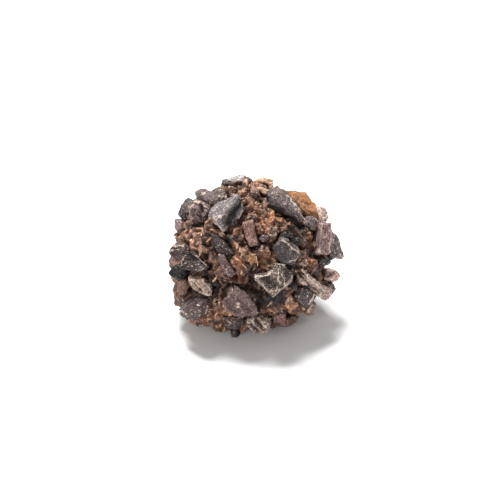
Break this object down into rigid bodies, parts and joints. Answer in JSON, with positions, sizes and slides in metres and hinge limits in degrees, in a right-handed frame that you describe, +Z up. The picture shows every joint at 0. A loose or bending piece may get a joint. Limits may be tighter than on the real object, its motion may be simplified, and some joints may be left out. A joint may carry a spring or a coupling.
{
  "type": "raw cacao bite",
  "caption": "Hand-rolled ball of date and nut paste, studded all over with broken cacao nibs and resting on a small flat spot.",
  "frame": {"origin": "on the flat spot the bite rests on, straight below the middle of the ball of paste", "axes": "+Z up, out of the resting surface; -Y the side shown to a viewer; +X to that viewer's right"},
  "size_m": [0.0294, 0.0273, 0.0249],
  "materials": {
    "cacao_paste": "matt, crumbly brown paste with dark purple-grey nibs"
  },
  "bodies": {
    "root": {"cacao_bite": "cacao_paste"}
  },
  "joints": []
}
